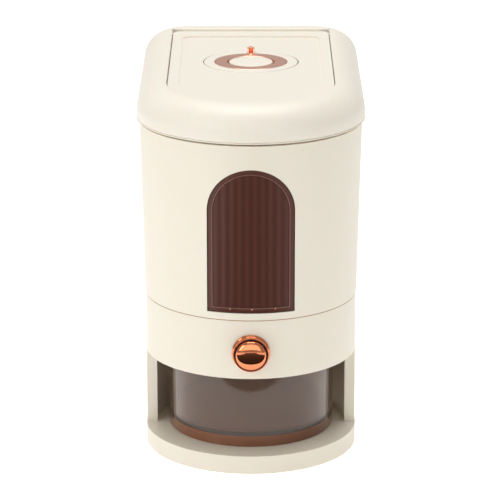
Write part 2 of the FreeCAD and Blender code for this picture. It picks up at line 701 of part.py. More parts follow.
CHUTE_TOP = f"{CHAMBER_LOW} - 0.2"
chute_tube = cylinder("chute_radius", f"{CHUTE_TOP} - chute_low", ("0", "-chute_y", "chute_low"))
hood = cut(block(("-chute_radius", "chute_radius"), ("-chute_y - chute_radius", "-chamber_radius + 4"),
                 (f"{CHUTE_TOP} - 2", f"{CHAMBER_LOW} + hood_height")),
           cylinder("chamber_radius + chamber_wall + 0.2", "40", ("0", "0", CHUTE_TOP)))
hood_room = block(("chute_wall - chute_radius", "chute_radius - chute_wall"),
                  ("-chute_y - chute_radius + chute_wall", "-chamber_radius"),
                  (CHUTE_TOP, f"{CHAMBER_LOW} + hood_height - chute_wall"))
tube_room = cylinder("chute_radius - chute_wall", "30", ("0", "-chute_y", "chute_low - 1"))
keep(cut(fuse(chute_tube, hood), hood_room, tube_room), "chute")

# ---------------------------------------------------------------- start button

BUTTON_AXIS = FORWARD
keep(turned([("stem_radius + 0.08", "bezel_back"), ("bezel_tube", "bezel_back"), ("bezel_tube", "bezel_seat"),
             ("bezel_radius", "bezel_seat"), ("bezel_radius", "bezel_seat + 1.4"), ("bezel_lip", "bezel_reach"),
             ("cap_radius + fit_gap", "bezel_reach"), ("cap_radius + fit_gap", "bezel_reach - cap_travel - 0.3"),
             ("bezel_tube - 1.2", "bezel_reach - cap_travel - 0.3"), ("bezel_tube - 1.2", "bezel_back + bezel_floor"),
             ("stem_radius + 0.08", "bezel_back + bezel_floor")], BUTTON_AXIS),
     "button_bezel", ("0", "0", "button_level"))
CAP_BACK = "bezel_reach - 0.1"
keep(turned([("0", "stem_back"), ("stem_radius - 1.2", "stem_back"), ("stem_radius", "stem_back + 1"),
             ("stem_radius", CAP_BACK), ("cap_radius", CAP_BACK), ("cap_radius", f"{CAP_BACK} + cap_edge"),
             ("cap_radius * 0.86", "button_reach - 1.5"), ("cap_radius * 0.6", "button_reach - 0.5"),
             ("cap_radius * 0.3", "button_reach"), ("0", "button_reach")], BUTTON_AXIS),
     "button_cap", ("0", "0", "button_level"))
clip = cut(cylinder("stem_radius + 1.6", "0.8", ("0", "0", "0"), FORWARD),
           cylinder("stem_radius", "4", ("0", "2", "0"), FORWARD))
keep(clip, "button_clip", ("0", "-(bezel_back - 1.2)", "button_level"))

SPRING_START = size("bezel_back") + size("bezel_floor") + size("spring_wire")
SPRING_END = size("bezel_reach") - 0.1 - size("spring_wire")
spring_turns = size("spring_turns")
spring_pitch = (SPRING_END - SPRING_START) / spring_turns
helix = Part.makeHelix(spring_pitch, SPRING_END - SPRING_START, size("spring_radius"))
helix_path = Part.Wire(helix.Edges)
wire_end = Part.Wire(Part.makeCircle(size("spring_wire"), Vector(size("spring_radius"), 0, 0), Vector(0, 1, 0)))
spring = doc.addObject("Part::Feature", "Spring")
spring.Shape = helix_path.makePipeShell([wire_end], True, True)
spring.Placement.Rotation = FORWARD
keep(spring, "button_spring", ("0", f"-({SPRING_START})", "button_level"))

switch_body = block(("switch_x", "switch_x + switch_width"), ("-switch_front", "switch_depth - switch_front"),
                    ("button_level - switch_height / 2", "button_level + switch_height / 2"))
lever = block(("-3", "switch_x + 3"), ("-switch_front - lever_plate", "-switch_front"),
              ("button_level - 2", "button_level + 2"))
keep(fuse(switch_body, lever), "start_switch")
bracket_plate = block(("switch_x", "switch_x + switch_width"), ("1 - switch_front", "switch_depth - switch_front"),
                      ("button_level - switch_height / 2 - 2", "button_level - switch_height / 2"))
bracket_leg = block(("switch_x + 5", "switch_x + 13"), ("1.5 - switch_front", "switch_depth - switch_front - 0.5"),
                    (ROOF, "button_level - switch_height / 2 - 1"))
keep(fuse(bracket_plate, bracket_leg), "switch_bracket")

# ---------------------------------------------------------------- upper housing and window

ARCH_SPRING = "window_high - window_half"


def arch(margin, low_y, high_y):
    """The window's arched outline, a margin wider all round, between two depths."""
    half = f"window_half + ({margin})"
    straight = block((f"-({half})", half), (low_y, high_y), (f"window_low - ({margin})", ARCH_SPRING))
    crown = cylinder(half, f"({high_y}) - ({low_y})", ("0", high_y, ARCH_SPRING), FORWARD)
    return fuse(straight, crown)


FRONT = ("-nose_radius - 20", "-30")
body_outer = flared_body("0")
body_inner = flared_body("wall")
keep(cut(body_outer, body_inner, arch("0", *FRONT)), "upper_housing")

pane_skin = cut(flared_body("0.4"), flared_body("wall + gasket + window_plate"))
flange_skin = cut(flared_body("wall + gasket"), flared_body("wall + gasket + window_plate"))
keep(fuse(common(arch("-fit_gap", *FRONT), pane_skin), common(arch("window_rim", *FRONT), flange_skin)),
     "window_pane")
gasket_skin = cut(flared_body("wall + sheet_gap"), flared_body("wall + gasket - sheet_gap"))
keep(common(cut(arch("window_rim", *FRONT), arch("0", *FRONT)), gasket_skin), "window_gasket")


def bean_space(drop):
    """The room that beans fill: a cone round the throat and a ramp behind it."""
    cone = doc.addObject("Part::Cone", "Cone")
    drive(cone, "Radius1", "throat_radius")
    drive(cone, "Radius2", "funnel_top_radius")
    drive(cone, "Height", "funnel_rise")
    place(cone, ("0", "0", f"throat_level - ({drop})"))
    above = cylinder("nose_radius + 5", "lid_seam + 5 - throat_level - funnel_rise",
                     ("0", "0", f"throat_level + funnel_rise - ({drop})"))
    ramp = side_prism([("slope_start", f"slope_low - ({drop})"), ("rear_reach + 5", f"slope_high - ({drop})"),
                       ("rear_reach + 5", "lid_seam + 5"), ("slope_start", "lid_seam + 5")], "nose_radius + 5")
    return fuse(cone, above, ramp)


NECK = "throat_radius + floor_wall"
NECK_LOW = f"{CARRIER_LOW} + carrier_plate + fit_gap"
funnel_neck = cylinder(NECK, f"throat_level + 1 - ({NECK_LOW})", ("0", "0", NECK_LOW))
funnel_block = common(flared_body("wall + fit_gap"), bean_space("floor_wall * 1.3"))
throat = cylinder("throat_radius", f"throat_level + 1 - ({NECK_LOW} - 1)", ("0", "0", f"{NECK_LOW} - 1"))
window_room = cut(arch("window_rim + fit_gap", *FRONT), flared_body("wall + gasket + window_plate + fit_gap"))
keep(cut(fuse(funnel_block, funnel_neck), bean_space("0"), throat, window_room), "bean_funnel")

# ---------------------------------------------------------------- lid

shell = doc.addObject("PartDesign::Body", "LidShell")
outline = shell.newObject("Sketcher::SketchObject", "LidPlan")
outline.AttachmentSupport = [(origin_plane(shell, "XY_Plane"), "")]
outline.MapMode = "FlatFace"
draw_plan(outline, "nose_radius + lid_overhang", "rear_reach + lid_overhang", "corner_radius + lid_overhang")
rise = shell.newObject("PartDesign::Pad", "LidHeight")
rise.Profile = outline
drive(rise, "Length", "lid_crest - lid_seam - 0.2")
doc.recompute()
top_face = max(range(len(rise.Shape.Faces)), key=lambda k: rise.Shape.Faces[k].CenterOfMass.z)
round_over = shell.newObject("PartDesign::Fillet", "LidRound")
round_over.Base = (rise, [f"Face{top_face + 1}"])
drive(round_over, "Radius", "lid_round")
doc.recompute()
place(shell, ("0", "0", "lid_seam + 0.2"))

LID_INNER = "nose_radius + body_flare - wall - fit_gap - floor_wall"
lid_lip = plan_prism("nose_radius + body_flare - wall - fit_gap", "rear_reach + body_flare - wall - fit_gap",
                     "corner_radius + body_flare - wall - fit_gap", "lid_seam - lid_lip", "lid_seam + 2")
lid_room = plan_prism(LID_INNER, "rear_reach + body_flare - wall - fit_gap - floor_wall",
                      "corner_radius + body_flare - wall - fit_gap - floor_wall", "lid_seam - lid_lip - 1",
                      "lid_pocket_top")
mouth = plan_prism("flap_half + flap_gap - flap_ledge", "flap_rear + flap_gap - flap_ledge",
                   "flap_corner", "lid_pocket_top - 1", "lid_crest + 5")
flap_seat = plan_prism("flap_half + flap_gap", "flap_rear + flap_gap", "flap_corner + flap_gap",
                       "flap_top - flap_plate - flap_gap", "lid_crest + 5")
corner_relief = block(("-flap_half - flap_gap", "flap_half + flap_gap"),
                      ("flap_rear - flap_corner - 1", "flap_rear + flap_gap"), (f"{PIN_Z} - 1.35", "lid_crest + 5"))
pin_bores = [cylinder("hinge_pin_radius", "hinge_pin_length", (x, PIN_Y, PIN_Z), ACROSS)
             for x in ("hinge_pin_inner", "-hinge_pin_inner - hinge_pin_length")]
keep(cut(fuse(shell, lid_lip), lid_room, mouth, flap_seat, corner_relief, *pin_bores), "lid_collar")
keep(fuse(*[cylinder("hinge_pin_radius", "hinge_pin_length", (x, PIN_Y, PIN_Z), ACROSS)
            for x in ("hinge_pin_inner", "-hinge_pin_inner - hinge_pin_length")]), "flap_hinge_pins")

flap_body = plan_prism("flap_half", "flap_rear", "flap_corner", "flap_top - flap_plate", "flap_top")
flap_nose = cylinder("flap_plate / 2", "2 * flap_half", ("-flap_half", PIN_Y, PIN_Z), ACROSS)
flap_trim = block(("-flap_half - 1", "flap_half + 1"), (PIN_Y, "flap_rear + 1"),
                  ("flap_top - flap_plate - 1", "flap_top + 1"))
rear_plan = plan_prism("flap_half", "flap_rear", "flap_corner", "flap_top - flap_plate - 1", "flap_top + 1")
flap_edge = common(flap_nose, rear_plan)
DISC_LOW = f"{DISC_TOP} - handle_plate"
handle_boss = cylinder("handle_radius + 3", f"flap_top - flap_plate + 1 - ({DISC_LOW} - handle_seat)",
                       ("0", "handle_y", f"{DISC_LOW} - handle_seat"))
panel = plan_prism("panel_half", "panel_rear", "flap_corner - 2", PANEL_TOP, "flap_top + 1")
handle_well = cylinder("handle_radius + fit_gap", "handle_plate + 5", ("0", "handle_y", DISC_LOW))
flap_bores = [cylinder("hinge_pin_radius + shaft_gap", "20", (x, PIN_Y, PIN_Z), ACROSS)
              for x in ("hinge_pin_inner - 0.5", "-hinge_pin_inner + 0.5 - 20")]
keep(cut(fuse(cut(flap_body, flap_trim), flap_edge, handle_boss), panel, handle_well, *flap_bores), "lid_flap")

SEAL_OUTER = "flap_half + flap_gap - flap_ledge - 0.8"
SEAL_REAR = "flap_rear + flap_gap - flap_ledge - 0.8"
SEAL_LOW = "flap_top - flap_plate - seal_height"
keep(cut(plan_prism(SEAL_OUTER, SEAL_REAR, "flap_corner", SEAL_LOW, "flap_top - flap_plate"),
         plan_prism(f"{SEAL_OUTER} - seal_width", f"{SEAL_REAR} - seal_width", "flap_corner - seal_width",
                    f"{SEAL_LOW} - 1", "flap_top - flap_plate + 1")), "flap_seal")

handle_disc = cylinder("handle_radius", "handle_plate", ("0", "handle_y", DISC_LOW))
RING_LOW = f"{DISC_TOP} - ring_thick"
ring_groove = cut(cylinder("ring_outer + ring_gap", "10", ("0", "handle_y", f"{RING_LOW} - 0.4")),
                  cylinder("ring_inner - ring_gap * 2", "12", ("0", "handle_y", f"{RING_LOW} - 1")))
keep(cut(handle_disc, ring_groove), "handle_disc")

POST_LOW = DISC_TOP
ring_pin_room = cylinder("ring_pin_radius", "20", ("-10", RING_PIN_Y, RING_PIN_Z), ACROSS)
post = block(("-post_half", "post_half"), (f"{RING_PIN_Y} - post_depth / 2", f"{RING_PIN_Y} + post_depth / 2"),
             (POST_LOW, f"{POST_LOW} + post_height"))
keep(cut(post, ring_pin_room), "ring_post")
PIN_HALF = "post_half + 0.15 + knuckle_width"
keep(cylinder("ring_pin_radius", f"2 * ({PIN_HALF})", (f"-({PIN_HALF})", "0", "0"), ACROSS),
     "ring_pin", (f"-({PIN_HALF})", RING_PIN_Y, RING_PIN_Z))

ring_flat = cut(cylinder("ring_outer", "ring_thick", ("0", "handle_y", RING_LOW)),
                cylinder("ring_inner", "10", ("0", "handle_y", f"{RING_LOW} - 1")))
knuckles = []
for low, high in (("post_half + 0.15", PIN_HALF), (f"-({PIN_HALF})", "-post_half - 0.15")):
    knuckles.append(cylinder("knuckle_radius", f"({high}) - ({low})", (low, RING_PIN_Y, RING_PIN_Z), ACROSS))
    knuckles.append(block((low, high), ("handle_y + ring_outer - 3", RING_PIN_Y),
                          (f"{RING_PIN_Z} - 1.1", f"{RING_PIN_Z} + 0.9")))
    knuckles.append(block((low, high), ("handle_y + ring_outer - 3", "handle_y + ring_outer - 0.6"),
                          (f"{DISC_TOP} - 1", f"{RING_PIN_Z}")))
pin_clearance = cylinder("ring_pin_radius + shaft_gap", "20", ("-10", RING_PIN_Y, RING_PIN_Z), ACROSS)
keep(cut(fuse(ring_flat, *knuckles), pin_clearance), "ring_pull")

# ---------------------------------------------------------------- grounds cup

CUP_LOW = "base_top + 0.2"
CUP_SKIRT = "cup_radius - cup_wall"
keep(turned([(CUP_SKIRT, CUP_LOW), ("cup_radius - 0.8", CUP_LOW), ("cup_radius", f"{CUP_LOW} + 0.8"),
             ("cup_radius", "cup_top"), (CUP_SKIRT, "cup_top"), (CUP_SKIRT, "cup_floor + floor_wall"),
             ("0", "cup_floor + floor_wall"), ("0", "cup_floor"), (CUP_SKIRT, "cup_floor")]),
     "grounds_cup", ("0", "cup_y", "0"))
keep(cylinder(f"{CUP_SKIRT} - 0.1", f"cup_floor - ({CUP_LOW})", ("0", "0", "0")),
     "cup_base", ("0", "cup_y", CUP_LOW))
stop_block = cylinder("cup_stop_radius", "30", ("0", "cup_y + cup_radius + 30.3", "cup_stop_level"), FORWARD)
keep(cut(common(stop_block, cylinder("bay_radius - sheet_gap", "60", ("0", "0", "cup_stop_level - 30"))),
         cylinder("cup_radius + 0.3", "70", ("0", "cup_y", "cup_stop_level - 35"))), "cup_stop_pad")

# ---------------------------------------------------------------- check and write

doc.recompute()
for item in doc.Objects:
    if "Invalid" in item.State or "Error" in item.State:
        raise RuntimeError(f"{item.Name} ({item.Label}) did not build: {item.State}")
for item in subparts:
    if item.Shape.isNull() or not item.Shape.isValid() or item.Shape.Volume <= 0:
        raise RuntimeError(f"{item.Label} has no valid shape")

os.makedirs("parts", exist_ok=True)
whole = FreeCAD.BoundBox()
for item in subparts:
    item.Shape.exportStep(f"parts/{item.Label}.step")
    whole.add(item.Shape.BoundBox)
    print(f"{item.Label}: {len(item.Shape.Solids)} solid(s), {item.Shape.Volume / 1000:.2f} cm3")
print(f"{len(subparts)} sub-parts, {whole.XLength:.2f} x {whole.YLength:.2f} x {whole.ZLength:.2f} mm,",
      f"from ({whole.XMin:.3f}, {whole.YMin:.3f}, {whole.ZMin:.3f})")
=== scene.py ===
"""Push-button coffee grinder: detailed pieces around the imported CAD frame."""

import json
import math

import bmesh
import bpy
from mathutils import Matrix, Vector


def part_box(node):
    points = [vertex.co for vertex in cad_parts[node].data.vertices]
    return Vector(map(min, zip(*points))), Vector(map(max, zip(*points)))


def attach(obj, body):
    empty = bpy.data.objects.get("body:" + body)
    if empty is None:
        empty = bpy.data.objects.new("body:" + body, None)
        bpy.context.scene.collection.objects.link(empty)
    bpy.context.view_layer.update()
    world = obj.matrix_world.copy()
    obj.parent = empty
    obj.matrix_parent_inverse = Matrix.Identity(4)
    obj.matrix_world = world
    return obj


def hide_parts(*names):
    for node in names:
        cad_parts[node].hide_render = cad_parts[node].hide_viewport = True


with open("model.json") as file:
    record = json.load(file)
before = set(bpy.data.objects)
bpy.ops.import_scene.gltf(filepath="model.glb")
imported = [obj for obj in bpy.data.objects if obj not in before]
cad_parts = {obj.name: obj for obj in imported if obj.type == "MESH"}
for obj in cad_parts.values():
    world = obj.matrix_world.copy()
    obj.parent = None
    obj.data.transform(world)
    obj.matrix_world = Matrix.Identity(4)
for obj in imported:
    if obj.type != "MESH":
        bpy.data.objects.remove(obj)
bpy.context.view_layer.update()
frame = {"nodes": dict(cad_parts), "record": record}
NODES = frame["nodes"]
MM = 0.001
SHARP_ANGLE = math.radians(38)
CAD_SHARP_ANGLE = math.radians(28)
FLAT_ANGLE = math.radians(0.6)
NEAR_AXIS = 0.01

# ---------------------------------------------------------------- where things are


def span(node):
    """A CAD node's lowest and highest corner in millimetres."""
    low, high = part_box(node)
    return low / MM, high / MM


collar_low, collar_high = span("lid_collar")
COLLAR_RADIUS = collar_high.x
NOSE_Y = collar_low.y + COLLAR_RADIUS
COLLAR_REAR = collar_high.y - NOSE_Y


def point(x, y, z):
    """Millimetres from the nose axis, as a point of the frame in metres."""
    return Vector((x, y + NOSE_Y, z)) * MM


# ---------------------------------------------------------------- mesh helpers


def make(name, vertices, faces, material, body, slot, *replaced):
    """A smooth-shaded piece that rides on a body and stands for CAD nodes."""
    mesh = bpy.data.meshes.new(name)
    mesh.from_pydata([tuple(v) for v in vertices], [], faces)
    mesh.validate()
    work = bmesh.new()
    work.from_mesh(mesh)
    bmesh.ops.remove_doubles(work, verts=work.verts, dist=1e-7)
    bmesh.ops.recalc_face_normals(work, faces=work.faces)
    work.to_mesh(mesh)
    work.free()
    mesh.materials.append(material)
    mesh.shade_smooth()
    mesh.set_sharp_from_angle(angle=SHARP_ANGLE)
    piece = bpy.data.objects.new(name, mesh)
    bpy.context.scene.collection.objects.link(piece)
    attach(piece, body)
    if replaced:
        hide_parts(*replaced)
    return piece


def loft(rings, ends="open"):
    """Quads between rings of equal length. ends is open, capped, or loop for a closed tube of rings."""
    count = len(rings[0])
    vertices = [v for ring in rings for v in ring]
    faces = []
    total = len(rings)
    for k in range(total if ends == "loop" else total - 1):
        low, high = k * count, (k + 1) % total * count
        for j in range(count):
            nxt = (j + 1) % count
            faces.append((low + j, low + nxt, high + nxt, high + j))
    if ends == "capped":
        faces.append(tuple(reversed(range(count))))
        faces.append(tuple(range((total - 1) * count, total * count)))
    return vertices, faces


def rounded(corners, steps=5):
    """A profile of (a, b, radius) corners, each turned into an arc of its own radius."""
    path = []
    for k, (a, b, radius) in enumerate(corners):
        here = Vector((a, b))
        if radius == 0:
            path.append(here)
            continue
        before = (Vector(corners[k - 1][:2]) - here).normalized()
        after = (Vector(corners[(k + 1) % len(corners)][:2]) - here).normalized()
        half = before.angle(after) / 2
        reach = radius / math.tan(half)
        start, stop = here + before * reach, here + after * reach
        for j in range(steps + 1):
            t = j / steps
            weights = ((1 - t) ** 2, 2 * math.sin(half) * t * (1 - t), t * t)
            path.append((start * weights[0] + here * weights[1] + stop * weights[2]) / sum(weights))
    return path


def lathe(profile, centre, axis="z", segments=128, ends="open"):
    """Rings of a (radius, height) profile about an axis: up for z, out of the front for y."""
    rings = []
    for radius, height in profile:
        ring = []
        for j in range(segments):
            turn = 2 * math.pi * j / segments
            across, along = radius * math.cos(turn), radius * math.sin(turn)
            if axis == "z":
                ring.append(point(centre[0] + across, centre[1] + along, height))
            else:
                ring.append(point(centre[0] + across, -height, centre[1] + along))
        rings.append(ring)
    return loft(rings, ends)


FRONT_STEPS, SIDE_STEPS, CORNER_STEPS, REAR_STEPS = 60, 10, 14, 8


def plan(radius, rear, corner, z):
    """The D-shaped outline: half round nose, straight sides, two rounded rear corners."""
    half = [(radius * math.sin(a), -radius * math.cos(a))
            for a in (math.pi / 2 * k / FRONT_STEPS for k in range(FRONT_STEPS + 1))]
    half += [(radius, (rear - corner) * k / SIDE_STEPS) for k in range(1, SIDE_STEPS + 1)]
    half += [(radius - corner + corner * math.cos(a), rear - corner + corner * math.sin(a))
             for a in (math.pi / 2 * k / CORNER_STEPS for k in range(1, CORNER_STEPS + 1))]
    half += [((radius - corner) * (1 - k / REAR_STEPS), rear) for k in range(1, REAR_STEPS + 1)]
    whole = half + [(-x, y) for x, y in reversed(half[1:-1])]
    return [point(x, y, z) for x, y in whole]


def slab(outline, low, high, edge):
    """A (y, z) outline between two x planes, its long edges eased by edge."""
    middle = sum((Vector(p) for p in outline), Vector((0, 0))) / len(outline)
    rings = []
    for x, inset in ((low, edge), (low + edge, 0), (high - edge, 0), (high, edge)):
        ring = []
        for p in outline:
            toward = Vector(p) - middle
            moved = middle + toward * (1 - inset / max(toward.length, edge))
            ring.append(point(x, moved.x, moved.y))
        rings.append(ring)
    return loft(rings, "capped")


def joined(*parts):
    """Several (vertices, faces) pairs as one."""
    vertices, faces = [], []
    for some_vertices, some_faces in parts:
        shift = len(vertices)
        vertices += some_vertices
        faces += [tuple(k + shift for k in face) for face in some_faces]
    return vertices, faces


# ---------------------------------------------------------------- materials


def linear(red, green, blue):
    """An sRGB colour, 0 to 255, as linear light."""
    return tuple(c / 12.92 / 255 if c <= 10 else ((c / 255 + 0.055) / 1.055) ** 2.4
                 for c in (red, green, blue)) + (1.0,)


def surface(name, colour, roughness, grain=0.0006, depth=0.00001, tint=0.03, spread=0.06, **settings):
    """A procedural material: slow colour drift, fine moulding grain in bump and roughness."""
    material = bpy.data.materials.new(name)
    material.use_nodes = True
    tree = material.node_tree
    shader = tree.nodes["Principled BSDF"]
    place = tree.nodes.new("ShaderNodeTexCoord")
    slow = tree.nodes.new("ShaderNodeTexNoise")
    slow.inputs["Scale"].default_value = 14
    slow.inputs["Detail"].default_value = 3
    tree.links.new(place.outputs["Object"], slow.inputs["Vector"])
    base = linear(*colour)
    blend = tree.nodes.new("ShaderNodeMix")
    blend.data_type = "RGBA"
    blend.inputs["A"].default_value = tuple(c * (1 - tint) for c in base[:3]) + (1.0,)
    blend.inputs["B"].default_value = tuple(min(1.0, c * (1 + tint)) for c in base[:3]) + (1.0,)
    tree.links.new(slow.outputs["Fac"], blend.inputs["Factor"])
    tree.links.new(blend.outputs["Result"], shader.inputs["Base Color"])
    fine = tree.nodes.new("ShaderNodeTexNoise")
    fine.inputs["Scale"].default_value = 1 / grain
    fine.inputs["Detail"].default_value = 2
    tree.links.new(place.outputs["Object"], fine.inputs["Vector"])
    rough = tree.nodes.new("ShaderNodeMapRange")
    rough.inputs["To Min"].default_value = max(0.0, roughness - spread)
    rough.inputs["To Max"].default_value = roughness + spread
    tree.links.new(fine.outputs["Fac"], rough.inputs["Value"])
    tree.links.new(rough.outputs["Result"], shader.inputs["Roughness"])
    bump = tree.nodes.new("ShaderNodeBump")
    bump.inputs["Strength"].default_value = 0.6
    bump.inputs["Distance"].default_value = depth
    tree.links.new(fine.outputs["Fac"], bump.inputs["Height"])
    tree.links.new(bump.outputs["Normal"], shader.inputs["Normal"])
    for socket, value in settings.items():
        shader.inputs[socket.replace("_", " ")].default_value = value
    return material


def brushed(name, colour, roughness, stretch):
    """Metal with fine lines: noise stretched along one direction."""
    material = surface(name, colour, roughness, depth=0.000004, spread=0.05, Metallic=1.0)
    tree = material.node_tree
    fine = next(n for n in tree.nodes if n.type == "TEX_NOISE" and n.inputs["Scale"].default_value > 100)
    scale = tree.nodes.new("ShaderNodeMapping")
    scale.inputs["Scale"].default_value = stretch
    place = next(n for n in tree.nodes if n.type == "TEX_COORD")
    tree.links.new(place.outputs["Object"], scale.inputs["Vector"])
    tree.links.new(scale.outputs["Vector"], fine.inputs["Vector"])
    return material


SOFT_CREAM = {"tint": 0.012, "Subsurface_Weight": 0.12, "Subsurface_Scale": 0.003}
CREAM = surface("cream_abs", (238, 230, 214), 0.44, **SOFT_CREAM)
LID_CREAM = surface("cream_lid_abs", (240, 233, 219), 0.42, **SOFT_CREAM)
# Painted shade: the colour of the shadow line along the seam between the housings.
SHADOW_GAP = surface("seam_shadow", (172, 136, 100), 0.8)
ROSE = brushed("rose_chrome", (232, 142, 100), 0.09, (1, 1, 1))
ROSE_SATIN = brushed("rose_satin", (255, 200, 178), 0.34, (0.2, 3, 1))
RUBBER = surface("rubber", (38, 36, 35), 0.75, grain=0.0004, depth=0.00003)
BLACK = surface("black_abs", (28, 27, 27), 0.5)
GREY = surface("grey_abs", (120, 114, 106), 0.5)
WHITE_POM = surface("gear_pom", (226, 222, 208), 0.45)
STEEL = brushed("steel", (178, 178, 180), 0.28, (1, 1, 6))
BURR = brushed("burr_steel", (150, 150, 152), 0.34, (4, 4, 1))
MOTOR = brushed("motor_can", (138, 140, 143), 0.36, (1, 1, 8))
BRASS = brushed("brass", (196, 160, 92), 0.25, (1, 1, 4))
BOARD = surface("board", (34, 84, 52), 0.5, grain=0.0015, tint=0.15)
CUP_BROWN = surface("cup_base_abs", (226, 168, 128), 0.42, tint=0.05)
SMOKE = surface("smoked_san", (190, 160, 138), 0.08, depth=0.000002, spread=0.02,
                Transmission_Weight=0.92, IOR=1.5, Coat_Weight=0.2)


FLUTE_PITCH, FLUTE_DEPTH = 4.9, 0.16


def fluted_brown_painted_stripes():
    """Smoked window: soft upright stripes of painted light and shade where the flutes are deeper."""
    material = surface("smoked_window", (80, 40, 29), 0.36, tint=0.04, spread=0.04, Specular_IOR_Level=0.25)
    tree = material.node_tree
    shader = tree.nodes["Principled BSDF"]
    place = next(n for n in tree.nodes if n.type == "TEX_COORD")
    flutes = tree.nodes.new("ShaderNodeTexWave")
    flutes.bands_direction = "X"
    flutes.inputs["Scale"].default_value = math.pi / 10 / (FLUTE_PITCH * MM)
    flutes.inputs["Distortion"].default_value = 0
    tree.links.new(place.outputs["Object"], flutes.inputs["Vector"])
    before = shader.inputs["Base Color"].links[0].from_socket
    mix = tree.nodes.new("ShaderNodeMix")
    mix.data_type = "RGBA"
    mix.blend_type = "MULTIPLY"
    # Painted shade and highlight across each flute: the brown times 0.84 up to 1.14.
    shade = tree.nodes.new("ShaderNodeValToRGB")
    shade.color_ramp.elements[0].color = (0.84, 0.84, 0.84, 1)
    shade.color_ramp.elements[1].color = (1.14, 1.14, 1.14, 1)
    tree.links.new(flutes.outputs["Fac"], shade.inputs["Fac"])
    mix.inputs["Factor"].default_value = 1
    tree.links.new(before, mix.inputs["A"])
    tree.links.new(shade.outputs["Color"], mix.inputs["B"])
    tree.links.new(mix.outputs["Result"], shader.inputs["Base Color"])
    return material


WINDOW = fluted_brown_painted_stripes()
WINDOW_RIM = surface("smoked_rim", (84, 45, 34), 0.3, tint=0.04, spread=0.03, Specular_IOR_Level=0.3)
# A lighter brown: painted highlight for the ridge round the window's inner edge.
WINDOW_HIGHLIGHT_LINE = surface("smoked_line_highlight", (132, 94, 82), 0.3, tint=0.04, spread=0.03)
TAN = surface("tan_nib", (196, 130, 86), 0.4)

BY_SLOT = {
    "cream_plastic": CREAM, "cream_lid": LID_CREAM, "smoked_window": WINDOW, "smoked_cup": SMOKE,
    "cup_brown": CUP_BROWN, "rose_chrome": ROSE, "rose_satin": ROSE_SATIN, "dark_rubber": RUBBER,
    "black_plastic": BLACK, "grey_plastic": GREY, "gear_plastic": WHITE_POM, "steel": STEEL,
    "burr_steel": BURR, "motor_steel": MOTOR, "brass": BRASS, "board_green": BOARD,
}

# ---------------------------------------------------------------- CAD nodes that stay

EASED = {
    "base_plate": 1.0, "lower_housing": 0.7, "upper_housing": 0.5, "lid_flap": 0.5, "rear_cover": 0.4,
    "foot_pads": 0.5, "bottom_cover": 0.4, "power_inlet": 0.3, "cup_stop_pad": 0.8, "motor": 0.6,
    "control_board": 0.15, "burr_nut": 0.4, "upper_burr": 0.2, "lower_burr": 0.2, "bean_funnel": 0.3,
    "rear_cover_screws": 0.15, "base_screws": 0.15, "burr_carrier": 0.3, "switch_bracket": 0.1,
    "start_switch": 0.15, "gear_deck": 0.3, "grind_chamber": 0.3, "chute": 0.3,
}
for row in frame["record"]["subparts"]:
    label = row["node"]
    node = NODES[label]
    node.data.materials.clear()
    node.data.materials.append(BY_SLOT[row["material_slot"]])
    node.data.shade_smooth()
    node.data.set_sharp_from_angle(angle=CAD_SHARP_ANGLE)
    if label in EASED:
        planes = node.modifiers.new("Planes", "DECIMATE")
        planes.decimate_type = "DISSOLVE"
        planes.angle_limit = FLAT_ANGLE
        edges = node.modifiers.new("Edges", "BEVEL")
        edges.width = EASED[label] * MM
        edges.segments = 3
        edges.limit_method = "ANGLE"
        edges.angle_limit = CAD_SHARP_ANGLE
        edges.harden_normals = True

# ---------------------------------------------------------------- lid collar

_, flap_high = span("lid_flap")
COLLAR_LOW = collar_low.z + 4.2
COLLAR_TOP = collar_high.z
LID_ROUND, OUTER_CORNER = 17.0, 31.2
LIP, LIP_WALL, LIP_CORNER = 5.0, 2.5, 26.2
SEAT_GAP, LEDGE = 0.6, 4.0
SEAT = (flap_high.x + SEAT_GAP, flap_high.y - NOSE_Y + SEAT_GAP, 8.6)
RELIEF_LEVEL = 224.45
SEAT_FLOOR, POCKET_TOP = 223.2, 220.0
BEAD, RIM_CORNER = 2.3, 1.2

outer = rounded([(0, COLLAR_LOW, 0.7), (0, COLLAR_LOW + BEAD - 0.35, 0.2), (-0.7, COLLAR_LOW + BEAD, 0.1),
                 (0, COLLAR_LOW + BEAD + 0.35, 0.2), (0, COLLAR_TOP, LID_ROUND),
                 (-LID_ROUND - 1, COLLAR_TOP, 0)], steps=18)[:-1]
rings = [plan(COLLAR_RADIUS - LIP, COLLAR_REAR - LIP, LIP_CORNER, COLLAR_LOW)]
for inset, z in outer:
    rings.append(plan(COLLAR_RADIUS + inset, COLLAR_REAR + inset, OUTER_CORNER + inset, z))
rim = rounded([(1, COLLAR_TOP, 0), (0, COLLAR_TOP, 0.6), (0, RELIEF_LEVEL, 0)])[1:]
for out, z in rim:
    rings.append(plan(SEAT[0] + out, SEAT[1] + out, RIM_CORNER + out, z))
rings.append(plan(*SEAT, RELIEF_LEVEL))
rings.append(plan(*SEAT, SEAT_FLOOR))
MOUTH = (SEAT[0] - LEDGE, SEAT[1] - LEDGE, 8.0)
rings.append(plan(*MOUTH, SEAT_FLOOR))
rings.append(plan(*MOUTH, POCKET_TOP))
inner = LIP + LIP_WALL
rings.append(plan(COLLAR_RADIUS - inner, COLLAR_REAR - inner, LIP_CORNER - LIP_WALL, POCKET_TOP))
rings.append(plan(COLLAR_RADIUS - inner, COLLAR_REAR - inner, LIP_CORNER - LIP_WALL, collar_low.z))
rings.append(plan(COLLAR_RADIUS - LIP, COLLAR_REAR - LIP, LIP_CORNER, collar_low.z))
make("lid_shell", *loft(rings, "loop"), LID_CREAM, "housing", "cream_lid", "lid_collar")

# ---------------------------------------------------------------- handle in the flap

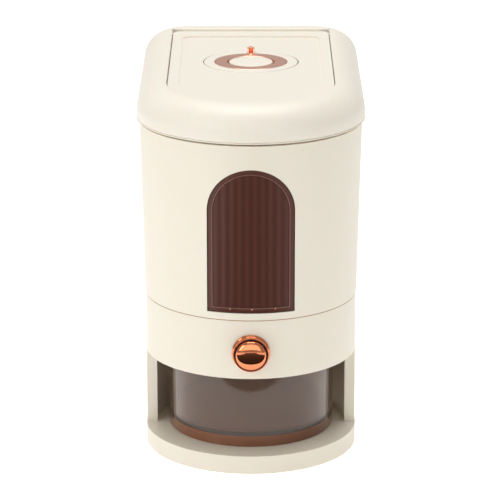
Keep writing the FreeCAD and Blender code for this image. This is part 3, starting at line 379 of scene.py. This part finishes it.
disc_low, disc_high = span("handle_disc")
DISC_Y = (disc_low.y + disc_high.y) / 2 - NOSE_Y
DISC_RADIUS, DISC_TOP = disc_high.x - 0.3, disc_high.z
ring_low, _ = span("ring_pull")
RING_OUTER, RING_INNER, RING_LOW = 22.2, 14.8, ring_low.z
GROOVE_FLOOR = RING_LOW - 2.0
profile = rounded([(NEAR_AXIS, disc_low.z, 0), (DISC_RADIUS, disc_low.z, 0.3), (DISC_RADIUS, DISC_TOP, 0.7),
                   (RING_OUTER + 0.6, DISC_TOP, 0.35), (RING_OUTER + 0.6, GROOVE_FLOOR, 0.2),
                   (RING_INNER - 1.2, GROOVE_FLOOR, 0.2), (RING_INNER - 1.2, DISC_TOP, 0.6),
                   (NEAR_AXIS, DISC_TOP, 0)])
make("handle_button", *lathe(profile, (0, DISC_Y)), LID_CREAM, "lid", "cream_lid", "handle_disc")

profile = rounded([(RING_INNER, RING_LOW, 0.4), (RING_OUTER, RING_LOW, 0.4), (RING_OUTER, DISC_TOP, 0.5),
                   (RING_INNER, DISC_TOP, 0.5)])
ring_band = lathe(profile, (0, DISC_Y), ends="loop")
pin_low, pin_high = span("ring_pin")
PIN_Y = (pin_low.y + pin_high.y) / 2 - NOSE_Y
PIN_Z = (pin_low.z + pin_high.z) / 2
KNUCKLE = 1.5
ROOT = DISC_Y + RING_OUTER - 3
cheek = [(ROOT, DISC_TOP - 0.8), (ROOT + 2.4, DISC_TOP - 0.8), (ROOT + 2.7, PIN_Z - 1.2)]
cheek += [(PIN_Y + KNUCKLE * math.cos(a), PIN_Z + KNUCKLE * math.sin(a))
          for a in (math.radians(-100 + 20 * k) for k in range(11))]
cheek += [(ROOT + 1.0, PIN_Z + 0.9), (ROOT + 0.3, PIN_Z + 0.5), (ROOT, PIN_Z - 0.2)]
cheeks = [slab(cheek, 1.35, 2.25, 0.2), slab(cheek, -2.25, -1.35, 0.2)]
BOSS_Y = DISC_Y + RING_INNER + 2.6
boss = lathe(rounded([(1.8, DISC_TOP - 0.3, 0), (1.8, DISC_TOP + 0.9, 0.4), (0.7, DISC_TOP + 0.9, 0.15),
                      (0.6, DISC_TOP + 0.3, 0.1), (NEAR_AXIS, DISC_TOP + 0.3, 0)]), (0, BOSS_Y), segments=40)
make("ring_lift", *joined(ring_band, *cheeks, boss), ROSE_SATIN, "ring", "rose_satin", "ring_pull")

post_low, post_high = span("ring_post")
POST_FRONT, POST_REAR = post_low.y - NOSE_Y, post_high.y - NOSE_Y
post = [(p.x, p.y) for p in rounded([(POST_FRONT, post_low.z, 0), (POST_REAR, post_low.z, 0),
                                     (POST_REAR, post_high.z, 0.5), (POST_FRONT, post_high.z, 0.5)])]
make("ring_stand", *slab(post, post_low.x, post_high.x, 0.2), ROSE, "lid", "rose_chrome", "ring_post")

# ---------------------------------------------------------------- start button

bezel_low, bezel_high = span("button_bezel")
BUTTON_Z = (bezel_low.z + bezel_high.z) / 2
LIP_OUT = NOSE_Y - bezel_low.y
TUBE_BACK = NOSE_Y - bezel_high.y
TUBE, TUBE_WALL, TUBE_FLOOR, STEM_BORE, CAP_WELL = 9.0, 1.2, 2.0, 4.1, 3.3
FLANGE_BACK = COLLAR_RADIUS - 5.7
cap_low, cap_high = span("button_cap")
CAP_RADIUS, DOME_TIP, STEM_BACK = cap_high.x, NOSE_Y - cap_low.y, NOSE_Y - cap_high.y
BEZEL_RADIUS, BEZEL_LIP, BEZEL_WAIST = bezel_high.x, CAP_RADIUS + 1.05, CAP_RADIUS + 0.55
profile = rounded([(STEM_BORE, TUBE_BACK, 0), (TUBE, TUBE_BACK, 0.3), (TUBE, FLANGE_BACK, 0.2),
                   (BEZEL_RADIUS, FLANGE_BACK, 0.3), (BEZEL_RADIUS, FLANGE_BACK + 1.4, 0.5),
                   (BEZEL_WAIST, LIP_OUT - 2.6, 1.4), (BEZEL_LIP, LIP_OUT - 0.7, 0.3),
                   (BEZEL_LIP, LIP_OUT, 0.3), (CAP_RADIUS + 0.3, LIP_OUT, 0.3),
                   (CAP_RADIUS + 0.3, LIP_OUT - CAP_WELL, 0.2), (TUBE - TUBE_WALL, LIP_OUT - CAP_WELL, 0.2),
                   (TUBE - TUBE_WALL, TUBE_BACK + TUBE_FLOOR, 0.2),
                   (STEM_BORE, TUBE_BACK + TUBE_FLOOR, 0)], steps=6)
make("button_flare", *lathe(profile, (0, BUTTON_Z), "y", ends="loop"), ROSE, "housing", "rose_chrome",
     "button_bezel")
# A black ring in the gap round the dome: painted shade, standing in for the dark band of shade round the
# dome.
SHADE_RING_GAP = 0.15
DOME_RADIUS = CAP_RADIUS - 0.45
profile = rounded([(DOME_RADIUS + SHADE_RING_GAP, LIP_OUT - 3, 0), (CAP_RADIUS + 0.35, LIP_OUT - 3, 0),
                   (CAP_RADIUS + 0.35, LIP_OUT - 0.15, 0.1), (DOME_RADIUS + SHADE_RING_GAP, LIP_OUT - 0.15, 0.1)])
make("button_shade_ring", *lathe(profile, (0, BUTTON_Z), "y", ends="loop"), BLACK, "housing", "black_plastic")
DOME_RISE = DOME_TIP - LIP_OUT - 0.9
STEM_RADIUS = 4.0
profile = [Vector(p) for p in ((NEAR_AXIS, STEM_BACK), (2.8, STEM_BACK), (STEM_RADIUS, STEM_BACK + 1),
                               (STEM_RADIUS, LIP_OUT - 0.1), (DOME_RADIUS - 0.3, LIP_OUT - 0.1),
                               (DOME_RADIUS, LIP_OUT + 0.2))]
profile += [Vector((max(NEAR_AXIS, DOME_RADIUS * math.cos(a)),
                    DOME_TIP - DOME_RISE + DOME_RISE * math.sin(a)))
            for a in (math.pi / 2 * k / 24 for k in range(25))]
make("button_dome", *lathe(profile, (0, BUTTON_Z), "y"), ROSE, "button", "rose_chrome", "button_cap")

# ---------------------------------------------------------------- grounds cup

cup_low, cup_high = span("grounds_cup")
CUP_RADIUS, CUP_Y = cup_high.x, (cup_low.y + cup_high.y) / 2 - NOSE_Y
CUP_WALL, CUP_FLOOR, FLOOR_WALL = 2.2, 18.6, 2.5
CUP_INNER = CUP_RADIUS - CUP_WALL
profile = rounded([(CUP_INNER, cup_low.z, 0), (CUP_RADIUS, cup_low.z, 0.9), (CUP_RADIUS, cup_high.z, 0.8),
                   (CUP_INNER, cup_high.z, 0.8), (CUP_INNER - 0.2, CUP_FLOOR + FLOOR_WALL, 1.8),
                   (NEAR_AXIS, CUP_FLOOR + FLOOR_WALL, 0), (NEAR_AXIS, CUP_FLOOR, 0),
                   (CUP_INNER, CUP_FLOOR, 0)], steps=7)
tub = make("smoked_tub", *lathe(profile, (0, CUP_Y), segments=160, ends="loop"), SMOKE, "cup", "smoked_cup",
           "grounds_cup")
tub.visible_shadow = False
foot_low, foot_high = span("cup_base")
profile = rounded([(NEAR_AXIS, foot_low.z, 0), (foot_high.x, foot_low.z, 0.6),
                   (foot_high.x, foot_high.z, 0.4), (NEAR_AXIS, foot_high.z, 0)])
make("tub_base", *lathe(profile, (0, CUP_Y)), CUP_BROWN, "cup", "cup_brown", "cup_base")

# ---------------------------------------------------------------- seam between the housings

body_low, body_high = span("upper_housing")
SEAM, SEAM_HEIGHT, SEAM_OUT = body_low.z, 0.6, 0.15
_, band_high = span("lower_housing")
BAND_RADIUS, BAND_REAR, BAND_CORNER = band_high.x, band_high.y - NOSE_Y, 26.6
rings = [plan(BAND_RADIUS + out, BAND_REAR + out, BAND_CORNER + out, z)
         for out, z in ((-1, SEAM - SEAM_HEIGHT), (SEAM_OUT, SEAM - SEAM_HEIGHT), (SEAM_OUT, SEAM - 0.02),
                        (-1, SEAM - 0.02))]
# A thin tan ring just proud of the seam: painted shade standing in for the seam's shadow line, carried on
# the dark_rubber slot.
make("painted_seam_shade", *loft(rings, "loop"), SHADOW_GAP, "housing", "dark_rubber")

# ---------------------------------------------------------------- level window

BODY_TOP_RADIUS, FLARE = body_high.x, 2.5
OPENING_HALF, OPENING_LOW, OPENING_HIGH = 26.1, 102.7, 191.7
FOOT_CORNER = 2.0
SPRING = OPENING_HIGH - OPENING_HALF
PANE_DEPTH, FLANGE_DEPTH, BACK_DEPTH, FLANGE_MARGIN = 0.5, 3.9, 5.6, 3.4


def on_body(x, z, depth):
    """A point on the flared front, so far in from its surface."""
    height = (z - body_low.z) / (body_high.z - body_low.z)
    radius = BODY_TOP_RADIUS - FLARE * (1 - height) - depth
    return point(x, -math.sqrt(radius * radius - x * x), z)


def arch_ring(margin, depth):
    """The arched opening's outline, a margin wider, at a depth."""
    half, low = OPENING_HALF + margin, OPENING_LOW - margin
    foot = max(0.3, FOOT_CORNER + margin)
    right = [(half * k / 12 * (half - foot) / half, low) for k in range(13)]
    right += [(half - foot + foot * math.sin(a), low + foot - foot * math.cos(a))
              for a in (math.pi / 2 * k / 5 for k in range(1, 6))]
    right += [(half, low + foot + (SPRING - low - foot) * k / 20) for k in range(1, 21)]
    right += [(half * math.cos(a), SPRING + half * math.sin(a))
              for a in (math.pi / 2 * k / 32 for k in range(1, 33))]
    outline = right + [(-x, z) for x, z in reversed(right[1:-1])]
    return [on_body(x, z, depth) for x, z in outline]


def arch_patch(margin, depth_at, columns, rows=44):
    """A sheet that fills the arch, in upright columns."""
    half, low = OPENING_HALF + margin, OPENING_LOW - margin
    vertices, faces = [], []
    for k in range(columns + 1):
        x = -half + 2 * half * k / columns
        top = SPRING + math.sqrt(max(0.0, half * half - x * x))
        for j in range(rows + 1):
            z = low + (top - low) * j / rows
            vertices.append(on_body(x, z, depth_at(x, z)))
    for k in range(columns):
        for j in range(rows):
            a = k * (rows + 1) + j
            faces.append((a, a + rows + 1, a + rows + 2, a + 1))
    return vertices, faces


def flute_depth(x, z):
    """Shallow round flutes, fading out near the foot of the window."""
    fade = min(1.0, max(0.0, (z - OPENING_LOW - 2.5) / 3))
    return PANE_DEPTH + 0.25 + FLUTE_DEPTH * fade * (1 - math.cos(2 * math.pi * x / FLUTE_PITCH)) / 2


RIM = 3.0
rim_rings = [arch_ring(FLANGE_MARGIN, BACK_DEPTH), arch_ring(FLANGE_MARGIN, FLANGE_DEPTH),
             arch_ring(-0.3, FLANGE_DEPTH), arch_ring(-0.3, PANE_DEPTH + 0.35),
             arch_ring(-0.4, PANE_DEPTH + 0.1), arch_ring(-0.65, PANE_DEPTH),
             arch_ring(0.2 - RIM, PANE_DEPTH), arch_ring(0.1 - RIM, PANE_DEPTH + 1.2)]
make("window_frame", *loft(rim_rings), WINDOW_RIM, "housing", "smoked_window")
# The thin ridge inside the rim, coloured in the lighter brown as a painted highlight line.
line_rings = [arch_ring(0.22 - RIM, PANE_DEPTH + 0.6), arch_ring(0.2 - RIM, PANE_DEPTH - 0.08),
              arch_ring(0.08 - RIM, PANE_DEPTH - 0.2), arch_ring(-0.12 - RIM, PANE_DEPTH - 0.2),
              arch_ring(-0.24 - RIM, PANE_DEPTH - 0.05), arch_ring(-0.3 - RIM, PANE_DEPTH + 0.9)]
make("window_highlight_line", *loft(line_rings), WINDOW_HIGHLIGHT_LINE, "housing", "smoked_window")
front = arch_patch(-0.1 - RIM, flute_depth, 130)
back = arch_patch(FLANGE_MARGIN, lambda x, z: BACK_DEPTH, 40)
make("level_window", *joined(front, back), WINDOW, "housing", "smoked_window", "window_pane")
NIB_Z = OPENING_LOW + 2.7
for order, x in enumerate((-12.4, 0.65, 14.6)):
    nib = [(on_body(x, NIB_Z, 0).y / MM - NOSE_Y + 0.25 + a, NIB_Z + b)
           for a, b in ((0, -0.5), (1.2, -0.5), (1.2, 0.5), (0, 0.5))]
    make(f"window_nib_{order + 1}", *slab(nib, x - 0.45, x + 0.45, 0.1), TAN, "housing", "smoked_window")

# ---------------------------------------------------------------- studio

FLOOR = 12.0


def glowing(name, colour, roughness, glow):
    """A surface that also gives off light in its own colour."""
    paint = surface(name, colour, roughness)
    shader = paint.node_tree.nodes["Principled BSDF"]
    shader.inputs["Emission Color"].default_value = linear(*colour)
    shader.inputs["Emission Strength"].default_value = glow
    return paint


def stage_sheet(name, corners, paint):
    """A single four-cornered face that belongs to the studio."""
    mesh = bpy.data.meshes.new(name)
    mesh.from_pydata(corners, [], [(0, 1, 2, 3)])
    mesh.materials.append(paint)
    sheet = bpy.data.objects.new(name, mesh)
    bpy.context.scene.collection.objects.link(sheet)
    return sheet


def reflector(name, far, near, colour, glow):
    """A card that only shows in reflections. Each edge is its left x, right x, y and z in metres."""
    corners = [(far[0], far[2], far[3]), (far[1], far[2], far[3]), (near[1], near[2], near[3]),
               (near[0], near[2], near[3])]
    card = stage_sheet(name, corners, glowing(name, colour, 0.8, glow))
    card.visible_camera = card.visible_diffuse = card.visible_shadow = card.visible_transmission = False


FLOOR_PAINT = surface("studio_white", (252, 252, 251), 0.7, grain=0.004, tint=0.0)
floor_shader = FLOOR_PAINT.node_tree.nodes["Principled BSDF"]
floor_shader.inputs["Emission Color"].default_value = (1, 1, 1, 1)
floor_shader.inputs["Emission Strength"].default_value = 0.5
stage_sheet("studio_floor", [(-FLOOR, -FLOOR, 0), (FLOOR, -FLOOR, 0), (FLOOR, FLOOR, 0), (-FLOOR, FLOOR, 0)],
            FLOOR_PAINT)
reflector("card_dark", (-0.4, 0.4, -1.5, 0.004), (-0.17, 0.17, -0.25, 0.004), (20, 14, 11), 0)
# Just below the start button, so that the lower half of its dome reflects something dark.
reflector("card_under", (-0.05, 0.05, -0.27, 0.064), (-0.05, 0.05, -0.1235, 0.072), (12, 7, 5), 0)
reflector("card_back", (-1.6, 1.6, -1.9, 0.35), (-1.6, 1.6, -1.6, 1.7), (255, 250, 242), 0.8)
reflector("card_left", (-0.34, -0.22, -0.42, 0.008), (-0.34, -0.22, -0.33, 0.008), (255, 255, 255), 3)
reflector("card_right", (0.16, 0.34, -0.34, 0.008), (0.16, 0.34, -0.24, 0.008), (255, 240, 226), 0.6)


def area_light(name, spot, target, size, power):
    """A soft white rectangle of light, aimed at a target."""
    lamp = bpy.data.lights.new(name, "AREA")
    lamp.shape = "RECTANGLE"
    lamp.size, lamp.size_y = size
    lamp.energy = power
    holder = bpy.data.objects.new(name, lamp)
    bpy.context.scene.collection.objects.link(holder)
    holder.location = spot
    holder.rotation_euler = (Vector(target) - Vector(spot)).to_track_quat("-Z", "Y").to_euler()


area_light("key_left", (-1.1, -0.9, 0.75), (0, -0.1, 0.12), (0.5, 0.9), 3.9)
area_light("fill_right", (1.0, -1.2, 0.5), (0, -0.1, 0.12), (0.35, 0.8), 0.2)
area_light("top", (0, 0.1, 1.5), (0, 0.05, 0.2), (1.0, 1.0), 13.4)

world = bpy.data.worlds.new("studio")
world.use_nodes = True
world.node_tree.nodes["Background"].inputs["Color"].default_value = (1.0, 1.0, 1.0, 1)
world.node_tree.nodes["Background"].inputs["Strength"].default_value = 0.4
bpy.context.scene.world = world
bpy.context.scene.view_settings.view_transform = "Standard"

camera_data = bpy.data.cameras.new("Camera")
camera_data.lens, camera_data.sensor_width, camera_data.shift_x = 205.3, 36, -0.0018
CAMERA_BACK, CAMERA_UP, CAMERA_PITCH = 1677, 630, 16.83
camera = bpy.data.objects.new("Camera", camera_data)
bpy.context.scene.collection.objects.link(camera)
camera.location = point(0, -CAMERA_BACK, CAMERA_UP)
camera.rotation_euler = (math.radians(90 - CAMERA_PITCH), 0, 0)
bpy.context.scene.camera = camera
